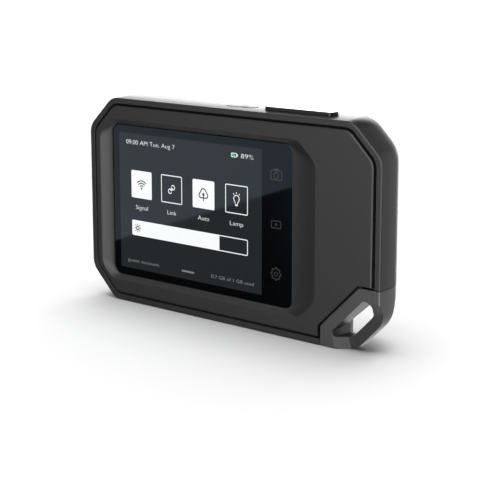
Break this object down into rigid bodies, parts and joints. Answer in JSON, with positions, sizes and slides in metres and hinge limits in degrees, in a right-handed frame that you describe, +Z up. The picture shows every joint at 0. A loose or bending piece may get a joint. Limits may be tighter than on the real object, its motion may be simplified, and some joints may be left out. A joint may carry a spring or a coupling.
{
  "type": "pocket touch-screen inspection camera",
  "caption": "Pocket inspection camera with a touch screen on one face, lenses on the other, two keys on the top edge and a lanyard corner.",
  "frame": {"origin": "middle of the base edge that the device stands on, at half its depth", "axes": "+Z up, +X to the right as seen from the screen, +Y from the screen to the lens side"},
  "size_m": [0.138, 0.024, 0.0816],
  "materials": {
    "case_plastic": "fine spark-eroded grain, satin",
    "loop_plastic": "smooth satin",
    "foam_rubber": "soft foam",
    "cover_glass": "polished, dark printed border",
    "display_black": "lit display behind the glass",
    "pressed_metal": "pressed sheet",
    "cast_frame": "die cast",
    "board_green": "solder mask",
    "plated_steel": "tin plated",
    "chip_black": "moulded",
    "amber_film": "polyimide film",
    "connector_ivory": "moulded",
    "battery_wrap": "foil pouch",
    "cable_red": "flexible insulation",
    "key_gloss": "gloss",
    "soft_rubber": "soft touch",
    "panel_gloss": "gloss",
    "barrel_black": "black anodised",
    "infrared_glass": "coated germanium, opaque to the eye",
    "core_metal": "cast",
    "camera_glass": "coated",
    "lamp_glass": "clear",
    "led_yellow": "phosphor",
    "board_white": "solder mask",
    "label_grey": "blank plate",
    "dark_steel": "blackened",
    "brass": "turned"
  },
  "bodies": {
    "case": {"front_plate": "case_plastic", "rear_shell": "case_plastic", "lanyard_loop": "loop_plastic", "case_gasket": "foam_rubber", "touch_glass": "cover_glass", "display_panel": "display_black", "display_frame": "pressed_metal", "inner_frame": "cast_frame", "main_board": "board_green", "processor_shield": "plated_steel", "memory_chips": "chip_black", "display_cable": "amber_film", "board_connectors": "connector_ivory", "battery": "battery_wrap", "battery_cable": "cable_red", "battery_pads": "foam_rubber", "key_board": "board_green", "save_switch": "plated_steel", "power_switch": "plated_steel", "radio_antenna": "amber_film", "usb_socket": "plated_steel", "lens_panel": "panel_gloss", "infrared_barrel": "barrel_black", "infrared_lens": "infrared_glass", "infrared_core": "core_metal", "optics_bracket": "cast_frame", "camera_barrel": "barrel_black", "camera_lens": "camera_glass", "camera_module": "chip_black", "lamp_lens": "lamp_glass", "lamp_led": "led_yellow", "lamp_board": "board_white", "lens_gasket": "foam_rubber", "grip_pad": "soft_rubber", "rating_label": "label_grey", "case_screws": "dark_steel", "board_screws": "plated_steel", "bracket_screws": "plated_steel", "loop_screw": "plated_steel", "tripod_bush": "brass"},
    "save_button": {"save_key": "key_gloss"},
    "power_button": {"power_key": "case_plastic"},
    "socket_cover": {"usb_cover": "soft_rubber"}
  },
  "joints": [
    {"name": "save_press", "type": "slide", "parent": "case", "child": "save_button", "axis": [0, 0, -1], "range_m": [0, 0.0008], "stiffness_N_per_m": 1500, "springref_m": -0.0002},
    {"name": "power_press", "type": "slide", "parent": "case", "child": "power_button", "axis": [0, 0, -1], "range_m": [0, 0.0005], "stiffness_N_per_m": 1500, "springref_m": -0.0002},
    {"name": "cover_hinge", "type": "hinge", "parent": "case", "child": "socket_cover", "pos_m": [-0.0681, -0.0056, 0.03], "axis": [0, 0, 1], "range_deg": [0, 90]}
  ]
}
